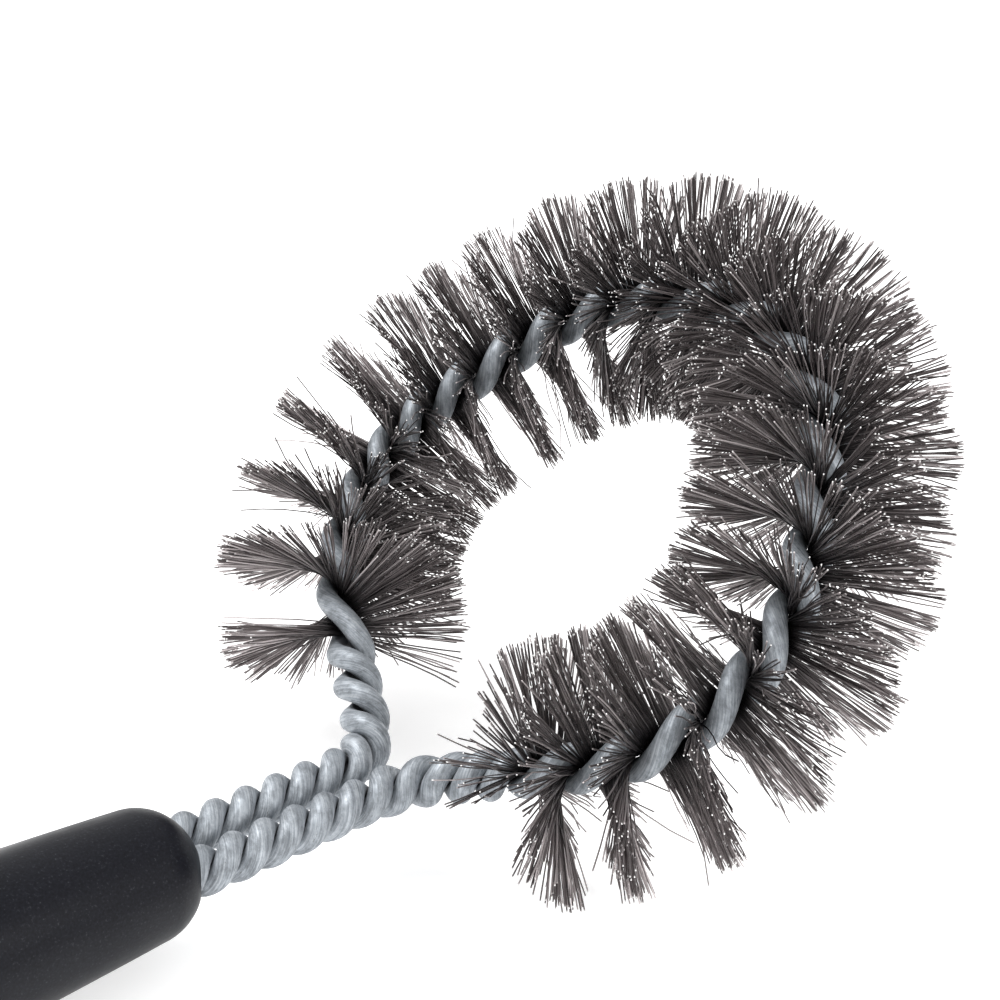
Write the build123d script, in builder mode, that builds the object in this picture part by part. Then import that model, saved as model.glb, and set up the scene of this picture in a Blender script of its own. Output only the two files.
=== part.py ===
"""Grill cleaning brush: a twisted-wire loop head, packed with wire bristles, on a tapered soft-grip handle.

Frame: the origin is the centre of the hang hole, +X runs along the handle towards the head, +Y is the left
side and +Z is up. The brush lies on its handle, and the loop rises ahead of it. Millimetres.
"""

from build123d import *
from math import cos, degrees, radians, sin, sqrt, tan
import os

# ---------------------------------------------------------------- driving dimensions
WIRE_D = 3.85               # galvanised core wire
FILAMENT_LAYER = 0.5        # bristle wire packed between the two core wires
BRISTLE_R = 21.5            # core to bristle tips

NECK_X = 200.0              # where the line of the handle meets the plane of the loop
LOOP_RISE = 41.8            # degrees from the handle's line up to the plane of the loop
ROPE_PITCH_Y = 8.5          # between the two ropes of the neck
NECK_BEND_R = 9.5           # bend from the neck into the loop
SPREAD = 55.6               # degrees, each side of the loop from its centre line
SIDE_RUN = 30.2             # straight stretch of each side, from the neck's corner
SIDE_R = 35.2               # the loop's side corners
SHOULDER = 26.8             # degrees that the far runs slope back to the centre line
FAR_R = 37.5                # the loop's far end

BARE_HALF_TURN = 5.8        # axial length of half a turn in the neck, where the rope is bare
BEND_HALF_TURN = 6.1        # the same through the neck's bends
ROOT_HALF_TURN = (5.45, 6.73)       # the same from there to the bristles, on the right and on the left
BRISTLE_HALF_TURN = ((0.0, 8.8), (0.11, 11.0), (0.52, 10.8), (0.8, 9.1), (1.0, 14.2))    # along the bristles
BRISTLE_START = (20.5, 23.8)        # from the neck's corner along the loop, on the right and on the left
LAY_CHANGE = 3.0            # length over which the lay opens or closes
FAN_COUNT = 22              # one fan of bristles to each half turn
START_TURN = 126.3          # degrees, the lay's position at the first bristle

HANDLE_FRONT = 160.8        # front face of the handle
HANDLE_END = -13.0          # rear end of the handle
WIDEST_X = 43.0             # station of the handle's largest radius
WIDEST_R = 14.0
TAPER_R = 1600.0            # radius of the long curve of the handle's side
FRONT_ROUND = 8.8           # rounding of the handle's front edge
GRIP_WALL = 2.0             # soft grip over the hard core
CAP_FRONT = 22.0            # joint between the end cap and the grip

HANG_HOLE_R = 4.5
TAB_HALF = 7.5              # half thickness of the flattened end
TAB_FRONT = 8.0             # where the flat faces start to sweep up into the round handle
SPIGOT_R = 6.0              # tail of the core, plugged into the end cap
SPIGOT_BACK = 10.0
GAP = 0.1                   # assembly clearance

ROPE_END_X = 104.0          # rear ends of the wires, inside the handle
COLLAR_LENGTH = 12.0        # crimped collar round both ropes
COLLAR_WALL = 0.9
SCREW_X = (34.0, 61.0, 88.0)
SCREW_R = 1.5
SCREW_HEAD_R = 2.8
SCREW_HEAD_H = 2.0
SCREW_HEAD_Z = -7.5         # underside of the screw heads' seat
SCREW_TIP_Z = 6.0

# ---------------------------------------------------------------- the rope's centre line
WIRE_R = WIRE_D / 2
BARE_LAY_R = WIRE_R + 0.05                      # rope axis to wire axis, wires touching
BEND_LAY_R = WIRE_R + 0.32                      # the same where the bend forces the wires apart
BRISTLE_LAY_R = WIRE_R + FILAMENT_LAYER / 2     # the same with bristles clamped between them
ROPE_R = BARE_LAY_R + WIRE_R

AHEAD = Vector(1, 0, 0)
LEFT = Vector(0, 1, 0)
LOOP_OUT = AHEAD.rotate(Axis.Y, -LOOP_RISE)     # centre line of the loop, away from the handle
LOOP_UP = Vector(0, 0, 1).rotate(Axis.Y, -LOOP_RISE)


def loop_direction(angle):
    """A direction in the plane of the loop, turned from its centre line towards the left."""
    return LOOP_OUT * cos(radians(angle)) + LEFT * sin(radians(angle))


def turned(vector, axis, angle):
    """A vector turned by an angle in degrees about an axis through the origin."""
    return vector.rotate(Axis((0, 0, 0), axis), angle)


class Route:
    """Straight runs and tangent arcs, with a cross-section frame that is carried along without twisting."""

    def __init__(self, start, ahead, up):
        self.pieces = []
        self.length = 0.0
        self.end = (start, ahead, up)

    def run(self, length):
        point, ahead, up = self.end
        self.pieces.append((self.length, length, 0.0, None, self.end))
        self.length += length
        self.end = (point + ahead * length, ahead, up)

    def bend(self, radius, angle, axis):
        length = radius * radians(angle)
        self.pieces.append((self.length, length, radius, axis, self.end))
        start = self.length
        self.length += length
        self.end = self.frame(start + length)

    def frame(self, at):
        """Point, direction and carried cross direction at a distance along the route."""
        start, length, radius, axis, (point, ahead, up) = self.pieces[0]
        for piece in self.pieces:
            if piece[0] <= at + 1e-9:
                start, length, radius, axis, (point, ahead, up) = piece
        if axis is None:
            return point + ahead * (at - start), ahead, up
        angle = degrees((at - start) / radius)
        centre = point + axis.cross(ahead) * radius
        point = centre + turned(point - centre, axis, angle)
        return point, turned(ahead, axis, angle), turned(up, axis, angle)


SIDE_DIRECTION = loop_direction(-SPREAD)
NECK_BEND = AHEAD.get_angle(SIDE_DIRECTION)
NECK_SETBACK = NECK_BEND_R * tan(radians(NECK_BEND) / 2)
SIDE_TURN = SPREAD + SHOULDER
# the far runs have the length that closes the loop on its centre line
FAR_RUN = (
    ROPE_PITCH_Y / 2
    + SIDE_RUN * sin(radians(SPREAD))
    + SIDE_R * (cos(radians(SHOULDER)) - cos(radians(SPREAD)))
    - FAR_R * cos(radians(SHOULDER))
) / sin(radians(SHOULDER))


def rope_route():
    """From the right rope's end in the handle, out, round the loop and back along the left rope."""
    neck_axis = AHEAD.cross(SIDE_DIRECTION).normalized()
    route = Route(Vector(ROPE_END_X, -ROPE_PITCH_Y / 2, 0), AHEAD, Vector(0, 0, 1))
    up_at_neck = turned(LOOP_UP, neck_axis, -NECK_BEND)
    route.end = (route.end[0], AHEAD, up_at_neck)
    route.run(NECK_X - NECK_SETBACK - ROPE_END_X)
    route.bend(NECK_BEND_R, NECK_BEND, neck_axis)
    route.run(SIDE_RUN - NECK_SETBACK)
    route.bend(SIDE_R, SIDE_TURN, LOOP_UP)
    route.run(FAR_RUN)
    route.bend(FAR_R, 2 * (90 - SHOULDER), LOOP_UP)
    route.run(FAR_RUN)
    route.bend(SIDE_R, SIDE_TURN, LOOP_UP)
    route.run(SIDE_RUN - NECK_SETBACK)
    back_axis = (loop_direction(SPREAD) * -1).cross(AHEAD * -1).normalized()
    route.bend(NECK_BEND_R, NECK_BEND, back_axis)
    route.run(NECK_X - NECK_SETBACK - ROPE_END_X)
    return route


ROPE = rope_route()
NECK_END = NECK_X - NECK_SETBACK - ROPE_END_X       # where the right rope starts to bend, along the route
LOOP_START = NECK_END + NECK_BEND_R * radians(NECK_BEND)
FIRST_BRISTLE = LOOP_START + BRISTLE_START[0] - NECK_SETBACK
LAST_BRISTLE = ROPE.length - (LOOP_START + BRISTLE_START[1] - NECK_SETBACK)
BRISTLED = LAST_BRISTLE - FIRST_BRISTLE


def along(at, knots):
    """Value at a distance along the rope of a broken line through knots of (distance, value)."""
    if at <= knots[0][0]:
        return knots[0][1]
    for (x0, y0), (x1, y1) in zip(knots, knots[1:]):
        if at <= x1:
            return y0 + (y1 - y0) * (at - x0) / (x1 - x0)
    return knots[-1][1]


# half turns per millimetre along the rope
TWIST_RATE = (
    (NECK_END - LAY_CHANGE, 1 / BARE_HALF_TURN),
    (NECK_END, 1 / BEND_HALF_TURN),
    (LOOP_START, 1 / BEND_HALF_TURN),
    (LOOP_START + LAY_CHANGE, 1 / ROOT_HALF_TURN[0]),
    (FIRST_BRISTLE - LAY_CHANGE, 1 / ROOT_HALF_TURN[0]),
    *[(FIRST_BRISTLE + share * BRISTLED, 1 / length) for share, length in BRISTLE_HALF_TURN],
    (LAST_BRISTLE + LAY_CHANGE, 1 / ROOT_HALF_TURN[1]),
    (ROPE.length - LOOP_START - LAY_CHANGE, 1 / ROOT_HALF_TURN[1]),
    (ROPE.length - LOOP_START, 1 / BEND_HALF_TURN),
    (ROPE.length - NECK_END, 1 / BEND_HALF_TURN),
    (ROPE.length - NECK_END + LAY_CHANGE, 1 / BARE_HALF_TURN),
)
LAY_RADIUS = (
    (NECK_END - LAY_CHANGE, BARE_LAY_R),
    (NECK_END, BEND_LAY_R),
    (FIRST_BRISTLE - LAY_CHANGE, BEND_LAY_R),
    (FIRST_BRISTLE, BRISTLE_LAY_R),
    (LAST_BRISTLE, BRISTLE_LAY_R),
    (LAST_BRISTLE + LAY_CHANGE, BEND_LAY_R),
    (ROPE.length - NECK_END, BEND_LAY_R),
    (ROPE.length - NECK_END + LAY_CHANGE, BARE_LAY_R),
)


def half_turns(at):
    """Half turns of lay from the first bristle to a distance along the rope."""
    low, high, sign = (FIRST_BRISTLE, at, 1) if at > FIRST_BRISTLE else (at, FIRST_BRISTLE, -1)
    stops = [low] + [x for x, rate in TWIST_RATE if low < x < high] + [high]
    total = 0.0
    for x0, x1 in zip(stops, stops[1:]):
        total += (along(x0, TWIST_RATE) + along(x1, TWIST_RATE)) / 2 * (x1 - x0)
    return sign * total


def after_half_turns(count):
    """Distance along the rope, up to the last bristle, at which a number of half turns is complete."""
    low, high = FIRST_BRISTLE, LAST_BRISTLE
    for step in range(50):
        middle = (low + high) / 2
        if half_turns(middle) < count:
            low = middle
        else:
            high = middle
    return low


def lay_plane(at):
    """Cross-section of the rope: its y axis points from the rope's axis to wire a. The lay is left-handed."""
    point, ahead, up = ROPE.frame(at)
    towards_a = turned(up, ahead, START_TURN - 180 * half_turns(at))
    return Plane(origin=point, x_dir=towards_a.cross(ahead), z_dir=ahead)


def wire_centre(at, side):
    return lay_plane(at).from_local_coords((0, side * along(at, LAY_RADIUS), 0))


# ---------------------------------------------------------------- twisted core wires
WIRE_STEP = 1.6             # spacing of the points that guide a wire's curve
WIRE_STRETCHES = 12         # equal lengths in which a wire is swept, one after the other


def build_wire(side):
    count = round(ROPE.length / WIRE_STEP)
    stations = [ROPE.length * i / count for i in range(count + 1)]
    with BuildPart() as wire:
        with BuildLine():
            guide = Spline(*[wire_centre(at, side) for at in stations])
        for number in range(WIRE_STRETCHES):
            stretch = guide.trim(number / WIRE_STRETCHES, (number + 1) / WIRE_STRETCHES)
            with BuildSketch(Plane(origin=stretch @ 0, z_dir=stretch % 0)):
                Circle(WIRE_R)
            sweep(path=stretch, is_frenet=True)
    return wire


wire_strand_a = build_wire(1)
wire_strand_a.part.label = "wire_strand_a"
wire_strand_b = build_wire(-1)
wire_strand_b.part.label = "wire_strand_b"

# ---------------------------------------------------------------- bristle fans
FAN_STEPS = 8               # sections to each half turn
FAN_GAP = 0.1               # between neighbouring fans, along the rope
CLAMPED_HALF = 0.2          # half thickness of the filaments where the wires grip them
SHOULDER_R = 2.6            # radius at which the filaments leave the wires
SHOULDER_HALF = 0.45
TIP_HALF = 1.0              # half thickness of the fan at its tips


def fan_outline():
    """Bow-tie outline of the filaments: waisted between the wires, spread at the tips."""
    widths = ((-BRISTLE_R, TIP_HALF), (-SHOULDER_R, SHOULDER_HALF), (0, CLAMPED_HALF))
    upper = widths + tuple((-x, y) for x, y in reversed(widths[:2]))
    lower = tuple((-x, -y) for x, y in upper)
    return upper + lower


def build_fan(number):
    start = after_half_turns(number) + FAN_GAP / 2
    stop = after_half_turns(number + 1) - FAN_GAP / 2
    with BuildPart() as fan:
        for step in range(FAN_STEPS + 1):
            with BuildSketch(lay_plane(start + (stop - start) * step / FAN_STEPS)):
                with BuildLine():
                    Polyline(*fan_outline(), close=True)
                make_face()
        loft(ruled=True)
    return fan


bristle_fans = [build_fan(number) for number in range(FAN_COUNT)]
for number, fan in enumerate(bristle_fans, start=1):
    fan.part.label = f"bristle_fan_{number:02d}"


# ---------------------------------------------------------------- handle
def handle_radius(x):
    """Radius of the handle's long curved side."""
    return WIDEST_R - TAPER_R + sqrt(TAPER_R**2 - (x - WIDEST_X) ** 2)


def side_arc(x0, x1, inset):
    """The handle's side in profile, drawn from x0 to x1 at a depth below its surface."""
    return ThreePointArc(*[(x, handle_radius(x) - inset) for x in (x0, (x0 + x1) / 2, x1)])


END_ROUND = 9.0             # rounding of the rear end
FRONT_R = handle_radius(HANDLE_FRONT)
SLEEVE_FRONT = HANDLE_FRONT - GRIP_WALL             # inner face of the sleeve's front wall
CORE_INSET = GRIP_WALL + GAP / 2
CORE_FRONT = HANDLE_FRONT - CORE_INSET
ROPE_SLOT = (ROPE_PITCH_Y + 2 * (ROPE_R + GAP), 2 * (ROPE_R + GAP))
COLLAR_SIZE = (ROPE_SLOT[0] + 2 * COLLAR_WALL, ROPE_SLOT[1] + 2 * COLLAR_WALL)
COLLAR_BACK = ROPE_END_X + 2.0
CROSS = Plane(origin=(0, 0, 0), x_dir=(0, 1, 0), z_dir=(1, 0, 0))     # looking at the handle from its front

with BuildPart() as grip_sleeve:
    with BuildSketch(Plane.XY) as sleeve_profile:
        with BuildLine():
            side_arc(CAP_FRONT, HANDLE_FRONT, 0)
            Polyline(
                (HANDLE_FRONT, FRONT_R),
                (HANDLE_FRONT, 0),
                (SLEEVE_FRONT, 0),
                (SLEEVE_FRONT, handle_radius(SLEEVE_FRONT) - GRIP_WALL),
            )
            side_arc(SLEEVE_FRONT, CAP_FRONT, GRIP_WALL)
            Line((CAP_FRONT, handle_radius(CAP_FRONT) - GRIP_WALL), (CAP_FRONT, handle_radius(CAP_FRONT)))
        make_face()
        at_front = HANDLE_FRONT - 0.5, HANDLE_FRONT + 0.5
        outer_corner = sleeve_profile.vertices().filter_by_position(Axis.X, *at_front)
        fillet(outer_corner.sort_by(Axis.Y)[-1], FRONT_ROUND)
        at_inner_front = SLEEVE_FRONT - 0.5, SLEEVE_FRONT + 0.5
        inner_corner = sleeve_profile.vertices().filter_by_position(Axis.X, *at_inner_front)
        fillet(inner_corner.sort_by(Axis.Y)[-1], FRONT_ROUND - GRIP_WALL)
    revolve(axis=Axis.X)
    with BuildSketch(CROSS.offset(SLEEVE_FRONT - FRONT_ROUND)):
        SlotOverall(*ROPE_SLOT)
    extrude(amount=2 * FRONT_ROUND + GRIP_WALL, mode=Mode.SUBTRACT)
grip_sleeve.part.label = "grip_sleeve"


def build_core_half(side):
    """Half of the hard core that holds the ropes, above (+1) or below (-1) the handle's middle."""
    with BuildPart() as half:
        with BuildSketch(Plane.XY) as core_profile:
            with BuildLine():
                side_arc(CAP_FRONT + GAP, CORE_FRONT, CORE_INSET)
                Polyline(
                    (CORE_FRONT, handle_radius(CORE_FRONT) - CORE_INSET),
                    (CORE_FRONT, 0),
                    (SPIGOT_BACK, 0),
                    (SPIGOT_BACK, SPIGOT_R),
                    (CAP_FRONT + GAP, SPIGOT_R),
                    (CAP_FRONT + GAP, handle_radius(CAP_FRONT + GAP) - CORE_INSET),
                )
            make_face()
            corner = core_profile.vertices().filter_by_position(Axis.X, CORE_FRONT - 0.5, CORE_FRONT + 0.5)
            fillet(corner.sort_by(Axis.Y)[-1], FRONT_ROUND - CORE_INSET)
        revolve(axis=Axis.X, revolution_arc=180 * side)
        with BuildSketch(CROSS.offset(ROPE_END_X - 1)):
            SlotOverall(*ROPE_SLOT)
        extrude(amount=HANDLE_FRONT - ROPE_END_X, mode=Mode.SUBTRACT)
        with BuildSketch(CROSS.offset(COLLAR_BACK - GAP)):
            SlotOverall(COLLAR_SIZE[0] + 2 * GAP, COLLAR_SIZE[1] + 2 * GAP)
        extrude(amount=COLLAR_LENGTH + 2 * GAP, mode=Mode.SUBTRACT)
        with BuildSketch(Plane.XY.offset(SCREW_HEAD_Z)):
            with Locations(*[(x, 0) for x in SCREW_X]):
                Circle(SCREW_R + GAP / 2)
        extrude(amount=SCREW_TIP_Z - SCREW_HEAD_Z + 1, mode=Mode.SUBTRACT)
        with BuildSketch(Plane.XY.offset(SCREW_HEAD_Z)):
            with Locations(*[(x, 0) for x in SCREW_X]):
                Circle(SCREW_HEAD_R + GAP)
        extrude(amount=-WIDEST_R, mode=Mode.SUBTRACT)
    return half


handle_core_upper = build_core_half(1)
handle_core_upper.part.label = "handle_core_upper"
handle_core_lower = build_core_half(-1)
handle_core_lower.part.label = "handle_core_lower"

with BuildPart() as crimp_collar:
    with BuildSketch(CROSS.offset(COLLAR_BACK)):
        SlotOverall(*COLLAR_SIZE)
        SlotOverall(*ROPE_SLOT, mode=Mode.SUBTRACT)
    extrude(amount=COLLAR_LENGTH)
    chamfer(crimp_collar.edges().filter_by(Axis.X, reverse=True).group_by(Axis.X)[0], 0.2)
crimp_collar.part.label = "crimp_collar"

with BuildPart() as core_screws:
    with Locations(*[(x, 0, SCREW_HEAD_Z) for x in SCREW_X]):
        Cylinder(SCREW_R, SCREW_TIP_Z - SCREW_HEAD_Z, align=(Align.CENTER, Align.CENTER, Align.MIN))
        Cylinder(SCREW_HEAD_R, SCREW_HEAD_H, align=(Align.CENTER, Align.CENTER, Align.MAX))
    with BuildSketch(Plane.XY.offset(SCREW_HEAD_Z - SCREW_HEAD_H)):
        with Locations(*[(x, 0) for x in SCREW_X]):
            RegularPolygon(1.2, 6)
    extrude(amount=1.2, mode=Mode.SUBTRACT)
core_screws.part.label = "core_screws"

with BuildPart() as end_cap:
    with BuildSketch(Plane.XY) as cap_profile:
        with BuildLine():
            side_arc(CAP_FRONT, HANDLE_END, 0)
            Polyline(
                (HANDLE_END, handle_radius(HANDLE_END)),
                (HANDLE_END, 0),
                (SPIGOT_BACK - GAP, 0),
                (SPIGOT_BACK - GAP, SPIGOT_R + GAP),
                (CAP_FRONT, SPIGOT_R + GAP),
                (CAP_FRONT, handle_radius(CAP_FRONT)),
            )
        make_face()
        rear = cap_profile.vertices().group_by(Axis.X)[0].sort_by(Axis.Y)[-1]
        fillet(rear, END_ROUND)
    revolve(axis=Axis.X)
    # the rear end flattens towards the hang hole, above and below
    with BuildSketch(Plane.XZ.offset(-WIDEST_R)):
        with BuildLine():
            TangentArc((TAB_FRONT, TAB_HALF), (CAP_FRONT - 1, WIDEST_R), tangent=(1, 0))
            Polyline(
                (CAP_FRONT - 1, WIDEST_R),
                (CAP_FRONT + 1, WIDEST_R),
                (CAP_FRONT + 1, -WIDEST_R),
                (CAP_FRONT - 1, -WIDEST_R),
            )
            TangentArc((TAB_FRONT, -TAB_HALF), (CAP_FRONT - 1, -WIDEST_R), tangent=(1, 0))
            Polyline(
                (TAB_FRONT, -TAB_HALF),
                (HANDLE_END, -TAB_HALF),
                (HANDLE_END, TAB_HALF),
                (TAB_FRONT, TAB_HALF),
            )
        make_face()
    extrude(amount=2 * WIDEST_R, mode=Mode.INTERSECT)
    with BuildSketch(Plane.XY.offset(-WIDEST_R)):
        Circle(HANG_HOLE_R)
    extrude(amount=2 * WIDEST_R, mode=Mode.SUBTRACT)
end_cap.part.label = "end_cap"

# ---------------------------------------------------------------- files
os.makedirs("parts", exist_ok=True)
export_step(wire_strand_a.part, "parts/wire_strand_a.step")
export_step(wire_strand_b.part, "parts/wire_strand_b.step")
for fan in bristle_fans:
    export_step(fan.part, f"parts/{fan.part.label}.step")
export_step(grip_sleeve.part, "parts/grip_sleeve.step")
export_step(handle_core_upper.part, "parts/handle_core_upper.step")
export_step(handle_core_lower.part, "parts/handle_core_lower.step")
export_step(crimp_collar.part, "parts/crimp_collar.step")
export_step(core_screws.part, "parts/core_screws.step")
export_step(end_cap.part, "parts/end_cap.step")
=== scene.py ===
from math import cos, pi, radians, sin, tan

import bpy
import numpy as np
from mathutils import Matrix, Vector


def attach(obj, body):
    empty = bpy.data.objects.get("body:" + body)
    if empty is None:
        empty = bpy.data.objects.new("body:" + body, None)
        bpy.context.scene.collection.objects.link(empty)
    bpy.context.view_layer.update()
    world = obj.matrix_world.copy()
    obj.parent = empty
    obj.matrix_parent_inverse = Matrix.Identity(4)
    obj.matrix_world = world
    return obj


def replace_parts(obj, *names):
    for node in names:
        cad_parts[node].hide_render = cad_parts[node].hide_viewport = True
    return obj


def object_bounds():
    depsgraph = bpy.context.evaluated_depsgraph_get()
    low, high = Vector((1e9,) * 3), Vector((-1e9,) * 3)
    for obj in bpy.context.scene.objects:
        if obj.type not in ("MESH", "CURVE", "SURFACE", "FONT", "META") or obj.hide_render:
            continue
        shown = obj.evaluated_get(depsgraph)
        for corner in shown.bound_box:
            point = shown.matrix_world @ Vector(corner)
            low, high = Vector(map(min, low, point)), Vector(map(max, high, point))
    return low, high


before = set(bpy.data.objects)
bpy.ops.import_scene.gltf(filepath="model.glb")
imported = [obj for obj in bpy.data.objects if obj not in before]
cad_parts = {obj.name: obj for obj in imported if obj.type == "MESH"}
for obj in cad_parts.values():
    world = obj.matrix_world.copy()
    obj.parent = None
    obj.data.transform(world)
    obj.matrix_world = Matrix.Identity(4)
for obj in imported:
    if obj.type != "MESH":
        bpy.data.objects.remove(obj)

# Grill cleaning brush, in metres and in the CAD model's frame: +X runs along the handle towards the head,
# +Y is the left side, +Z is up and the origin is the centre of the hang hole. The core wires and the bristles
# are rebuilt here. The handle keeps its CAD solids and gets its materials.

CAD_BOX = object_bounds()
MM = 0.001

# ---------------------------------------------------------------- driving dimensions, as in the CAD model
WIRE_R = 1.925 * MM                 # one of the two core wires
BARE_LAY_R = 1.975 * MM             # rope axis to wire axis in the neck
BEND_LAY_R = 2.245 * MM             # the same where the bend forces the wires apart
BRISTLE_LAY_R = 2.175 * MM          # the same where bristles are clamped
BRISTLE_R = 21.5 * MM               # core to bristle tips

NECK_X = 200.0 * MM                 # where the line of the handle meets the plane of the loop
LOOP_RISE = radians(41.8)           # from the handle's line up to the plane of the loop
ROPE_PITCH_Y = 8.5 * MM             # between the two ropes of the neck
NECK_BEND_R = 9.5 * MM              # bend from the neck into the loop
SPREAD = radians(55.6)              # each side of the loop from its centre line
SIDE_RUN = 30.2 * MM                # straight stretch of each side, from the neck's corner
SIDE_R = 35.2 * MM                  # the loop's side corners
SHOULDER = radians(26.8)            # slope of the far runs back to the centre line
FAR_R = 37.5 * MM                   # the loop's far end
ROPE_END_X = 104.0 * MM             # rear ends of the wires, inside the handle

BARE_HALF_TURN = 5.8 * MM           # axial length of half a turn in the neck, where the rope is bare
BEND_HALF_TURN = 6.1 * MM           # the same through the neck's bends
ROOT_HALF_TURN = (5.45 * MM, 6.73 * MM)         # from there to the bristles, right and left
BRISTLE_HALF_TURN = (                           # share of the bristled stretch, length in mm
    (0.0, 8.8), (0.11, 11.0), (0.52, 10.8), (0.8, 9.1), (1.0, 14.2),
)
BRISTLE_START = (20.5 * MM, 23.8 * MM)          # from the neck's corner along the loop, right and left
LAY_CHANGE = 3.0 * MM               # length over which the lay opens or closes
START_TURN = radians(126.3)         # the lay's position at the first bristle
HALVINGS = 50                       # of the interval that holds a fan's boundary
ROUNDING = 1e-12                    # slack where one piece of the route ends and the next starts
FAN_NODES = sorted(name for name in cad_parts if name.startswith("bristle_fan_"))

# ---------------------------------------------------------------- the rope's centre line
AHEAD = Vector((1, 0, 0))
LEFT = Vector((0, 1, 0))
LOOP_OUT = Vector((cos(LOOP_RISE), 0, sin(LOOP_RISE)))
LOOP_UP = Vector((-sin(LOOP_RISE), 0, cos(LOOP_RISE)))


def turned(vector, axis, angle):
    """A vector turned about an axis through the origin."""
    return Matrix.Rotation(angle, 3, axis) @ vector


class Route:
    """Straight runs and tangent arcs, with a cross-section frame that is carried along without twisting."""

    def __init__(self, start, ahead, up):
        self.pieces = []
        self.length = 0.0
        self.end = (start, ahead, up)

    def run(self, length):
        point, ahead, up = self.end
        self.pieces.append((self.length, 0.0, None, self.end))
        self.length += length
        self.end = (point + ahead * length, ahead, up)

    def bend(self, radius, angle, axis):
        self.pieces.append((self.length, radius, axis, self.end))
        self.length += radius * angle
        self.end = self.frame(self.length)

    def frame(self, at):
        """Point, direction and carried cross direction at a distance along the route."""
        start, radius, axis, (point, ahead, up) = self.pieces[0]
        for piece in self.pieces:
            if piece[0] <= at + ROUNDING:
                start, radius, axis, (point, ahead, up) = piece
        if axis is None:
            return point + ahead * (at - start), ahead, up
        angle = (at - start) / radius
        centre = point + axis.cross(ahead) * radius
        moved = centre + turned(point - centre, axis, angle)
        return moved, turned(ahead, axis, angle), turned(up, axis, angle)


SIDE_DIRECTION = LOOP_OUT * cos(SPREAD) - LEFT * sin(SPREAD)
RETURN_DIRECTION = -(LOOP_OUT * cos(SPREAD) + LEFT * sin(SPREAD))
NECK_BEND = AHEAD.angle(SIDE_DIRECTION)
NECK_SETBACK = NECK_BEND_R * tan(NECK_BEND / 2)
NECK_RUN = NECK_X - NECK_SETBACK - ROPE_END_X
FAR_RUN = (
    ROPE_PITCH_Y / 2
    + SIDE_RUN * sin(SPREAD)
    + SIDE_R * (cos(SHOULDER) - cos(SPREAD))
    - FAR_R * cos(SHOULDER)
) / sin(SHOULDER)


def rope_route():
    """From the right rope's end, along the neck, round the loop and back to the left rope's end."""
    neck_axis = AHEAD.cross(SIDE_DIRECTION).normalized()
    up_at_neck = turned(LOOP_UP, neck_axis, -NECK_BEND)
    route = Route(Vector((ROPE_END_X, -ROPE_PITCH_Y / 2, 0)), AHEAD, up_at_neck)
    route.run(NECK_RUN)
    route.bend(NECK_BEND_R, NECK_BEND, neck_axis)
    route.run(SIDE_RUN - NECK_SETBACK)
    route.bend(SIDE_R, SPREAD + SHOULDER, LOOP_UP)
    route.run(FAR_RUN)
    route.bend(FAR_R, pi - 2 * SHOULDER, LOOP_UP)
    route.run(FAR_RUN)
    route.bend(SIDE_R, SPREAD + SHOULDER, LOOP_UP)
    route.run(SIDE_RUN - NECK_SETBACK)
    route.bend(NECK_BEND_R, NECK_BEND, RETURN_DIRECTION.cross(-AHEAD).normalized())
    route.run(NECK_RUN)
    return route


ROPE = rope_route()
LOOP_START = NECK_RUN + NECK_BEND_R * NECK_BEND
FIRST_BRISTLE = LOOP_START + BRISTLE_START[0] - NECK_SETBACK
LAST_BRISTLE = ROPE.length - (LOOP_START + BRISTLE_START[1] - NECK_SETBACK)
BRISTLED = LAST_BRISTLE - FIRST_BRISTLE
TWIST_RATE = (                      # distance along the rope, half turns per metre
    (NECK_RUN - LAY_CHANGE, 1 / BARE_HALF_TURN),
    (NECK_RUN, 1 / BEND_HALF_TURN),
    (LOOP_START, 1 / BEND_HALF_TURN),
    (LOOP_START + LAY_CHANGE, 1 / ROOT_HALF_TURN[0]),
    (FIRST_BRISTLE - LAY_CHANGE, 1 / ROOT_HALF_TURN[0]),
    *[(FIRST_BRISTLE + share * BRISTLED, 1 / (length * MM)) for share, length in BRISTLE_HALF_TURN],
    (LAST_BRISTLE + LAY_CHANGE, 1 / ROOT_HALF_TURN[1]),
    (ROPE.length - LOOP_START - LAY_CHANGE, 1 / ROOT_HALF_TURN[1]),
    (ROPE.length - LOOP_START, 1 / BEND_HALF_TURN),
    (ROPE.length - NECK_RUN, 1 / BEND_HALF_TURN),
    (ROPE.length - NECK_RUN + LAY_CHANGE, 1 / BARE_HALF_TURN),
)
LAY_RADIUS = (                      # distance along the rope, rope axis to wire axis
    (NECK_RUN - LAY_CHANGE, BARE_LAY_R),
    (NECK_RUN, BEND_LAY_R),
    (FIRST_BRISTLE - LAY_CHANGE, BEND_LAY_R),
    (FIRST_BRISTLE, BRISTLE_LAY_R),
    (LAST_BRISTLE, BRISTLE_LAY_R),
    (LAST_BRISTLE + LAY_CHANGE, BEND_LAY_R),
    (ROPE.length - NECK_RUN, BEND_LAY_R),
    (ROPE.length - NECK_RUN + LAY_CHANGE, BARE_LAY_R),
)


def along(at, knots):
    """Value at a distance along the rope of a broken line through knots of (distance, value)."""
    return float(np.interp(at, [x for x, value in knots], [value for x, value in knots]))


def half_turns(at):
    """Half turns of lay from the first bristle to a distance along the rope."""
    low, high, sign = (FIRST_BRISTLE, at, 1) if at > FIRST_BRISTLE else (at, FIRST_BRISTLE, -1)
    stops = [low] + [x for x, rate in TWIST_RATE if low < x < high] + [high]
    total = 0.0
    for x0, x1 in zip(stops, stops[1:]):
        total += (along(x0, TWIST_RATE) + along(x1, TWIST_RATE)) / 2 * (x1 - x0)
    return sign * total


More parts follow.
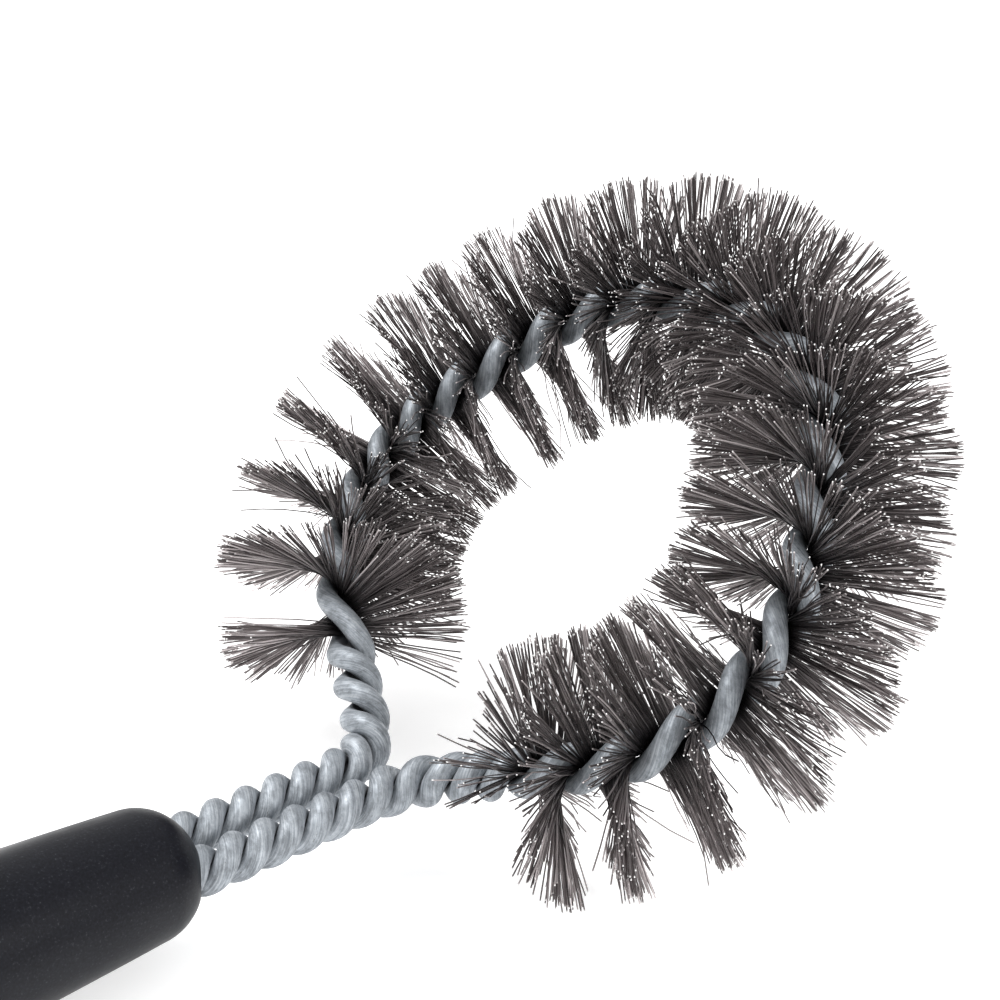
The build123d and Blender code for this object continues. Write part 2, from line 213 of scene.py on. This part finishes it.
def after_half_turns(count):
    """Distance along the rope, up to the last bristle, at which a number of half turns is complete."""
    low, high = FIRST_BRISTLE, LAST_BRISTLE
    for halving in range(HALVINGS):
        middle = (low + high) / 2
        low, high = (middle, high) if half_turns(middle) < count else (low, middle)
    return low


def lay(at):
    """Point, rope direction, direction of the filaments and direction of wire a, as arrays."""
    point, ahead, up = ROPE.frame(at)
    towards_a = turned(up, ahead, START_TURN - pi * half_turns(at))
    across = towards_a.cross(ahead)
    return tuple(np.array(v) for v in (point, ahead, across, towards_a))


# ---------------------------------------------------------------- mesh helpers
def mesh_object(name, points, faces):
    """A smooth-shaded mesh in the scene."""
    mesh = bpy.data.meshes.new(name)
    mesh.from_pydata([tuple(p) for p in points], [], faces)
    mesh.update()
    mesh.polygons.foreach_set("use_smooth", [True] * len(mesh.polygons))
    piece = bpy.data.objects.new(name, mesh)
    bpy.context.scene.collection.objects.link(piece)
    return piece


def point_values(piece, name, values):
    """Stores one number at each point, for a material to read."""
    layer = piece.data.attributes.new(name, "FLOAT", "POINT")
    layer.data.foreach_set("value", np.asarray(values, np.float32))


def point_vectors(piece, name, vectors):
    """Stores one vector at each point, for a material to read."""
    layer = piece.data.attributes.new(name, "FLOAT_VECTOR", "POINT")
    layer.data.foreach_set("vector", np.asarray(vectors, np.float32).ravel())


def unit(vectors):
    return vectors / np.linalg.norm(vectors, axis=-1, keepdims=True)


def square_to(vectors, directions):
    """Unit vectors at right angles to the directions, and otherwise nearest to the given vectors."""
    return unit(vectors - directions * (vectors * directions).sum(1, keepdims=True))


def ring_vectors(first, second, angles):
    """Unit vectors around each station, at angles from its first direction towards its second."""
    return first[:, None] * np.cos(angles)[None, :, None] + second[:, None] * np.sin(angles)[None, :, None]


def tube_faces(rings, sides, base=0):
    """Faces of a tube whose rings of points follow each other from point number base, closed at both ends."""
    faces = []
    for row in range(rings - 1):
        for k in range(sides):
            a = base + row * sides + k
            b = base + row * sides + (k + 1) % sides
            faces.append((a, b, b + sides, a + sides))
    faces.append(tuple(base + k for k in reversed(range(sides))))
    faces.append(tuple(base + (rings - 1) * sides + k for k in range(sides)))
    return faces


# ---------------------------------------------------------------- colours, as linear RGB
ZINC_DARK = (0.205, 0.225, 0.25)
ZINC = (0.33, 0.358, 0.388)
ZINC_LIGHT = (0.50, 0.53, 0.565)
ZINC_PATCH = (0.44, 0.445, 0.45)
WHITE = (1.0, 1.0, 1.0)
DIRT_SPECK = (0.055, 0.048, 0.044)
# dirt and painted shade in the groove between the two wires
GROOVE_DIRT_AND_SHADE = (0.03, 0.031, 0.035)
FILAMENT_DARK = (0.07, 0.059, 0.059)
FILAMENT_STEEL = (0.215, 0.188, 0.188)
FILAMENT_LIGHT = (0.68, 0.62, 0.62)
# painted shade near the filaments' roots, where they crowd together
FILAMENT_ROOT_SHADE = (0.02, 0.018, 0.019)
# painted glint on the filaments' cut ends
CUT_END_GLINT = (0.85, 0.84, 0.83)
RUBBER_DARK = (0.0015, 0.0017, 0.0038)
RUBBER = (0.005, 0.0056, 0.0092)
GRIP_SPECKLE = (0.04, 0.042, 0.047)
CAP_SPECKLE = (0.045, 0.047, 0.052)
CORE_SPECKLE = (0.035, 0.036, 0.04)
COLLAR_STEEL = (0.50, 0.50, 0.52)
SCREW_STEEL = (0.45, 0.45, 0.46)
CLOUDED = 0.75                      # how dark the darker clouds of a small steel part are
FLOOR_WHITE = (0.93, 0.93, 0.93)


# ---------------------------------------------------------------- materials
def new_material(name, **settings):
    """A material with a Principled shader whose constant sockets are set here."""
    material = bpy.data.materials.new(name)
    material.use_nodes = True
    shader = material.node_tree.nodes["Principled BSDF"]
    for socket, value in settings.items():
        shader.inputs[socket.replace("_", " ")].default_value = value
    return material, material.node_tree, shader


def attribute(tree, name, output):
    """Socket that reads what point_values or point_vectors stored."""
    node = tree.nodes.new("ShaderNodeAttribute")
    node.attribute_name = name
    return node.outputs[output]


def object_place(tree):
    """Socket with the place on the object, in metres."""
    return tree.nodes.new("ShaderNodeTexCoord").outputs["Object"]


def noise(tree, vector, scale, detail=4.0, roughness=0.55, stretch=(1, 1, 1)):
    """Socket with a noise value from 0 to 1, at scale cells to each unit of the vector."""
    mapping = tree.nodes.new("ShaderNodeMapping")
    mapping.inputs["Scale"].default_value = stretch
    tree.links.new(vector, mapping.inputs["Vector"])
    node = tree.nodes.new("ShaderNodeTexNoise")
    node.inputs["Scale"].default_value = scale
    node.inputs["Detail"].default_value = detail
    node.inputs["Roughness"].default_value = roughness
    tree.links.new(mapping.outputs["Vector"], node.inputs["Vector"])
    return node.outputs["Fac"]


def ramp(tree, value, *stops):
    """Colour ramp through stops of (position, grey or colour)."""
    node = tree.nodes.new("ShaderNodeValToRGB")
    while len(node.color_ramp.elements) < len(stops):
        node.color_ramp.elements.new(1.0)
    for element, (position, colour) in zip(node.color_ramp.elements, stops):
        element.position = position
        element.color = (*colour, 1) if isinstance(colour, tuple) else (colour, colour, colour, 1)
    tree.links.new(value, node.inputs["Fac"])
    return node.outputs["Color"]


def bump(tree, shader, height, strength, distance):
    """Fine relief on a shader's surface from a height of 0 to 1."""
    node = tree.nodes.new("ShaderNodeBump")
    node.inputs["Strength"].default_value = strength
    node.inputs["Distance"].default_value = distance
    tree.links.new(height, node.inputs["Height"])
    tree.links.new(node.outputs["Normal"], shader.inputs["Normal"])


def colour_mix(tree, factor, a, b, blend="MIX"):
    """Mixes two colours, each a socket or a constant; factor is a socket or a number."""
    node = tree.nodes.new("ShaderNodeMix")
    node.data_type = "RGBA"
    node.blend_type = blend
    for index, value in ((0, factor), (6, a), (7, b)):
        if isinstance(value, bpy.types.NodeSocket):
            tree.links.new(value, node.inputs[index])
        else:
            node.inputs[index].default_value = (*value, 1) if isinstance(value, tuple) else value
    return node.outputs[2]


def galvanised_material():
    """Dull zinc-coated wire: blue grey, with drawn streaks along the wire, mottling, dark specks, and dirt
    with painted shade in the groove between the wires.
    """
    material, tree, shader = new_material("galvanised_wire", Metallic=0.45)
    flow = attribute(tree, "flow", "Vector")
    groove = attribute(tree, "groove", "Fac")
    streaks = noise(tree, flow, 7.0, detail=6.0, roughness=0.7, stretch=(0.05, 1, 1))
    mottle = noise(tree, flow, 1.0, detail=9.0, roughness=0.72)
    specks = noise(tree, flow, 6.0, detail=5.0, roughness=0.8, stretch=(0.4, 1, 1))
    base = ramp(tree, streaks, (0.34, ZINC_DARK), (0.50, ZINC), (0.66, ZINC_LIGHT))
    patches = ramp(tree, mottle, (0.38, ZINC_PATCH), (0.58, WHITE))
    base = colour_mix(tree, 0.8, base, patches, "MULTIPLY")
    base = colour_mix(tree, ramp(tree, specks, (0.62, 0.0), (0.67, 0.8)), base, DIRT_SPECK)
    # dirt and painted shade: near black on the side of each wire that faces the rope's axis, where the two
    # wires meet
    base = colour_mix(tree, groove, base, GROOVE_DIRT_AND_SHADE)
    tree.links.new(base, shader.inputs["Base Color"])
    tree.links.new(ramp(tree, mottle, (0.34, 0.66), (0.64, 0.46)), shader.inputs["Roughness"])
    bump(tree, shader, streaks, 0.3, 0.1 * MM)
    return material


def filament_material():
    """Drawn steel, brown grey, with a little shade from wire to wire, painted shade darkening the filaments
    towards their roots and painted glints at the cut ends.
    """
    material, tree, shader = new_material("bristle_steel", Metallic=0.7, Roughness=0.42)
    shade = attribute(tree, "shade", "Fac")
    tip_glint = attribute(tree, "tip_glint", "Fac")
    reach = attribute(tree, "reach", "Fac")
    base = ramp(tree, shade, (0.0, FILAMENT_DARK), (0.6, FILAMENT_STEEL), (1.0, FILAMENT_LIGHT))
    # painted shade: the filaments go near black towards their roots and fade to their own colour by 0.6 of
    # their length
    base = colour_mix(tree, ramp(tree, reach, (0.1, 1.0), (0.6, 0.0)), base, FILAMENT_ROOT_SHADE)
    # painted glint: near-white cut ends, full on about half the filaments and faint on the rest
    base = colour_mix(tree, tip_glint, base, CUT_END_GLINT)
    tree.links.new(base, shader.inputs["Base Color"])
    return material


def grip_material(name, speckle):
    """Soft-touch black with a fine moulded grain."""
    material, tree, shader = new_material(name, Specular_IOR_Level=0.16)
    place = object_place(tree)
    grain = noise(tree, place, 2600.0, detail=3.0, roughness=0.6)
    patches = noise(tree, place, 60.0, detail=4.0, roughness=0.6)
    base = ramp(tree, grain, (0.35, RUBBER_DARK), (0.62, RUBBER), (0.80, speckle))
    tree.links.new(base, shader.inputs["Base Color"])
    tree.links.new(ramp(tree, patches, (0.35, 0.34), (0.65, 0.48)), shader.inputs["Roughness"])
    bump(tree, shader, grain, 0.3, 0.05 * MM)
    return material


def plain_metal(name, colour):
    """Zinc-plated small parts, hidden inside the handle."""
    material, tree, shader = new_material(name, Metallic=0.9, Roughness=0.4)
    darker = tuple(c * CLOUDED for c in colour)
    cloud = ramp(tree, noise(tree, object_place(tree), 700.0), (0.35, darker), (0.65, colour))
    tree.links.new(cloud, shader.inputs["Base Color"])
    return material


GALVANISED = galvanised_material()
FILAMENT = filament_material()


# ---------------------------------------------------------------- twisted core wires
WIRE_STEP = 0.5 * MM                # between the rings of a wire's tube
WIRE_SIDES = 28
FLOW_UNIT = 2.0 * MM                # length of one texture unit on a wire
FLOW_APART = 1000                   # texture units between the wires, so that their streaks differ
GROOVE_FROM = 0.05                  # where the dirt and painted shade start, in wire radii from a wire's axis towards the rope's
GROOVE_OVER = 0.6                   # and how much further in it is thickest
GROOVE_EASE = 1.5                   # thin at first


def groove_depth(angle):
    """How much dirt and painted shade darken a wire's surface, by the angle from the outside of the rope."""
    facing_in = (-np.cos(angle) - GROOVE_FROM) / GROOVE_OVER
    return np.clip(facing_in, 0, 1) ** GROOVE_EASE


def wire_skin(name, side):
    """A wire as one smooth tube, ringed so that angle 0 faces out of the rope."""
    count = round(ROPE.length / WIRE_STEP)
    stations = [ROPE.length * i / count for i in range(count + 1)]
    frames = [lay(at) for at in stations]
    radii = np.array([along(at, LAY_RADIUS) for at in stations])[:, None]
    outward = np.array([side * towards_a for point, ahead, across, towards_a in frames])
    centres = np.array([point for point, ahead, across, towards_a in frames]) + outward * radii
    tangents = unit(np.gradient(centres, axis=0))
    outward = square_to(outward, tangents)
    around = np.cross(tangents, outward)
    angles = np.linspace(0, 2 * pi, WIRE_SIDES, endpoint=False)
    ring = ring_vectors(outward, around, angles)
    points = (centres[:, None] + WIRE_R * ring).reshape(-1, 3)
    skin = mesh_object(name, points, tube_faces(count + 1, WIRE_SIDES))
    steps = np.linalg.norm(np.diff(centres, axis=0), axis=1)
    travelled = np.concatenate([[0], np.cumsum(steps)]) / FLOW_UNIT
    flow = np.empty((count + 1, WIRE_SIDES, 3))
    flow[..., 0] = travelled[:, None] + FLOW_APART * (side + 1)
    flow[..., 1] = np.cos(angles)
    flow[..., 2] = np.sin(angles)
    point_vectors(skin, "flow", flow)
    point_values(skin, "groove", np.tile(groove_depth(angles), count + 1))
    skin.data.materials.append(GALVANISED)
    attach(skin, "root")
    return skin


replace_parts(wire_skin("wire_skin_a", 1), "wire_strand_a")
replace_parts(wire_skin("wire_skin_b", -1), "wire_strand_b")

# ---------------------------------------------------------------- bristles
FILAMENT_R = 0.125 * MM
FILAMENTS_PER_MM = 20.0             # wires laid across the rope, each showing on both sides
FILAMENT_SIDES = 4
FIRST_CORNER = pi / 4               # turn of a filament's square section
RING_AT = (0.02, 0.2, 0.4, 0.6, 0.8, 0.985, 1.0)     # rings along a filament, as shares of its length
FIRST_SEED = 4100                   # of the first fan's random draws

ROOT_SPREAD = 0.12 * MM             # filaments to either side of the rope's axis, between the wires
CLUMP = (4, 12)                     # filaments that lean together, from 4 up to 11
CLUMP_AXIAL_SPLAY = radians(2.1)    # lean along the rope, from clump to clump
CLUMP_TURN_SPLAY = radians(4.0)     # lean around the rope, from clump to clump
AXIAL_SPLAY = radians(1.3)          # and the same two within a clump
TURN_SPLAY = radians(2.2)
MOST_LEAN = radians(40)
BEND = 1.0 * MM                     # sideways bend at the tip
WAVE = 0.3 * MM                     # sideways wave, one from root to tip
END_LOOSENESS = 4.0                 # how much wider the filaments lean at either end of the bristles
END_REACH = 3.0 * MM                # and how far in that fades
STRAY_SHARE = 0.02                  # filaments that lean and bend STRAY_GAIN times as much
STRAY_GAIN = 4.0

MEAN_LENGTH = BRISTLE_R - 0.5 * MM  # of a filament on one side of the rope
MOST_LENGTH = BRISTLE_R + 0.4 * MM
CLUMP_TRIM = 0.35 * MM              # unevenness of the trimmed tips, from clump to clump
TRIM = 0.35 * MM                    # and within a clump
BRIGHT_TIP_SHARE = 0.5              # cut ends with a full painted glint
DULL_TIP = 0.15                     # how much of the painted glint the others get
SHADE_EASE = 1.5                    # more of the filaments are dark than light


def clump_numbers(count, rng):
    """Clump that each of a row of filaments belongs to."""
    sizes = rng.integers(CLUMP[0], CLUMP[1], count)
    return np.searchsorted(np.cumsum(sizes), np.arange(count), side="right")


def filament_spines(start, stop, rng):
    """Root to tip points of every filament between two distances along the rope, and section directions."""
    count = round(FILAMENTS_PER_MM * (stop - start) / MM)
    stations = start + (stop - start) * (np.arange(count) + rng.uniform(0, 1, count)) / count
    frames = [lay(at) for at in stations]
    point, ahead, across, towards_a = (np.array([f[i] for f in frames]) for i in range(4))
    point, ahead, across, towards_a = (np.concatenate([v, v]) for v in (point, ahead, across, towards_a))
    side = np.repeat([1.0, -1.0], count)[:, None]
    many = 2 * count
    clump = np.concatenate([clump_numbers(count, rng), clump_numbers(count, rng) + count])
    gain = np.where(rng.uniform(0, 1, many) < STRAY_SHARE, STRAY_GAIN, 1.0)[:, None]

    def vary(size, width=1):
        return rng.normal(0, size, (many, width))

    from_end = np.minimum(stations - FIRST_BRISTLE, LAST_BRISTLE - stations)
    loose = np.tile(1 + END_LOOSENESS * np.exp(-from_end / END_REACH), 2)[:, None]
    axial = vary(AXIAL_SPLAY) * gain + vary(CLUMP_AXIAL_SPLAY)[clump]
    axial = np.clip(axial * loose, -MOST_LEAN, MOST_LEAN)
    turn = vary(TURN_SPLAY) * gain + vary(CLUMP_TURN_SPLAY)[clump]
    root = point + towards_a * rng.uniform(-ROOT_SPREAD, ROOT_SPREAD, (many, 1))
    direction = unit(side * across + np.tan(axial) * ahead + np.tan(turn) * towards_a)
    bend_way = square_to(vary(1, 3), direction)
    bend_size = vary(BEND) * gain
    wave_way = square_to(vary(1, 3), direction)
    wave_size = vary(WAVE)
    length = np.minimum(MEAN_LENGTH + vary(CLUMP_TRIM)[clump] + vary(TRIM), MOST_LENGTH)
    shares = np.array(RING_AT)[None, :, None]
    spines = (
        root[:, None]
        + direction[:, None] * (length[:, None] * shares)
        + bend_way[:, None] * (bend_size[:, None] * shares**2)
        + wave_way[:, None] * (wave_size[:, None] * np.sin(2 * pi * shares))
    )
    first = unit(np.cross(direction, towards_a))
    return spines, first, np.cross(direction, first)


def filament_tufts(name, start, stop, rng):
    """Every filament of one half turn, both ends of each, as one mesh of thin bent tubes."""
    spines, first, second = filament_spines(start, stop, rng)
    many, rings = spines.shape[:2]
    block = rings * FILAMENT_SIDES
    angles = np.linspace(0, 2 * pi, FILAMENT_SIDES, endpoint=False) + FIRST_CORNER
    ring = ring_vectors(first, second, angles)
    points = (spines[:, :, None] + FILAMENT_R * ring[:, None]).reshape(-1, 3)
    faces = []
    for filament in range(many):
        faces += tube_faces(rings, FILAMENT_SIDES, filament * block)
    tufts = mesh_object(name, points, faces)
    tip_glint = np.zeros((many, rings, FILAMENT_SIDES))
    # painted glint at the last ring of each filament
    tip_glint[:, -1] = np.where(rng.uniform(0, 1, (many, 1)) < BRIGHT_TIP_SHARE, 1.0, DULL_TIP)
    point_values(tufts, "tip_glint", tip_glint.ravel())
    # how far along each filament a point lies, which sets the painted shade at the roots
    point_values(tufts, "reach", np.tile(np.repeat(RING_AT, FILAMENT_SIDES), many))
    point_values(tufts, "shade", np.repeat(rng.uniform(0, 1, many) ** SHADE_EASE, block))
    tufts.data.materials.append(FILAMENT)
    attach(tufts, "root")
    return tufts


for number, node in enumerate(FAN_NODES):
    tufts = filament_tufts(
        node.replace("fan", "tufts"),
        after_half_turns(number),
        after_half_turns(number + 1),
        np.random.default_rng(FIRST_SEED + number),
    )
    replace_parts(tufts, node)

# ---------------------------------------------------------------- handle and inner parts
NODE_MATERIALS = {
    "grip_sleeve": grip_material("soft_grip", GRIP_SPECKLE),
    "end_cap": grip_material("end_cap_plastic", CAP_SPECKLE),
    "crimp_collar": plain_metal("collar_steel", COLLAR_STEEL),
    "core_screws": plain_metal("screw_steel", SCREW_STEEL),
}
CORE_PLASTIC = grip_material("core_plastic", CORE_SPECKLE)
for name in ("handle_core_upper", "handle_core_lower"):
    NODE_MATERIALS[name] = CORE_PLASTIC
for name, material in NODE_MATERIALS.items():
    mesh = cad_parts[name].data
    mesh.materials.clear()
    mesh.materials.append(material)

# ---------------------------------------------------------------- floor, light and camera
FLOOR_HALF = 4.0                    # metres
FLOOR_GLOW = 0.4                    # a light table, so that the shadows stay faint
WORLD_STRENGTH = 1.0

floor = mesh_object(
    "floor",
    [(x * FLOOR_HALF, y * FLOOR_HALF, CAD_BOX[0].z) for x, y in ((-1, -1), (1, -1), (1, 1), (-1, 1))],
    [(0, 1, 2, 3)],
)
floor.data.materials.append(
    new_material(
        "pale_floor",
        Base_Color=(*FLOOR_WHITE, 1),
        Roughness=0.9,
        Specular_IOR_Level=0.1,
        Emission_Color=(*WHITE, 1),
        Emission_Strength=FLOOR_GLOW,
    )[0]
)

world = bpy.context.scene.world or bpy.data.worlds.new("studio")
bpy.context.scene.world = world
world.use_nodes = True
background = world.node_tree.nodes["Background"]
background.inputs["Color"].default_value = (*WHITE, 1)
background.inputs["Strength"].default_value = WORLD_STRENGTH


def softbox(name, place, target, size, power):
    """A square lamp that faces a target: size in metres and power in watts."""
    light = bpy.data.lights.new(name, "AREA")
    light.shape = "SQUARE"
    light.size = size
    light.energy = power
    lamp = bpy.data.objects.new(name, light)
    lamp.location = place
    lamp.rotation_euler = (Vector(target) - Vector(place)).to_track_quat("-Z", "Y").to_euler()
    bpy.context.scene.collection.objects.link(lamp)


HEAD = (NECK_X + 40 * MM, 0, 30 * MM)           # the middle of the loop, which both lamps face
softbox("key_light", (-0.1, 0.5, 0.9), HEAD, size=0.6, power=10.0)
softbox("fill_light", (0.3, -0.8, 0.5), HEAD, size=0.5, power=3.0)

# The photo's viewpoint, fitted to the rope, the loop and the handle.
EYE = Vector((15.904, -206.683, 185.73)) * MM
RIGHT = Vector((0.73684, -0.67148, 0.07864))
BACK = Vector((-0.62985, -0.63954, 0.44078))
UP = BACK.cross(RIGHT).normalized()
SENSOR_WIDTH = 36.0                 # Blender takes this and the lens in millimetres
LENS = 73.773
NEAREST_SEEN = 0.01                 # metres

camera_data = bpy.data.cameras.new("camera")
camera_data.sensor_width = SENSOR_WIDTH
camera_data.lens = LENS
camera_data.clip_start = NEAREST_SEEN
camera = bpy.data.objects.new("camera", camera_data)
bpy.context.scene.collection.objects.link(camera)
camera.matrix_world = Matrix.Translation(EYE) @ Matrix((RIGHT, UP, BACK)).transposed().to_4x4()
bpy.context.scene.camera = camera
bpy.context.scene.view_settings.view_transform = "Standard"
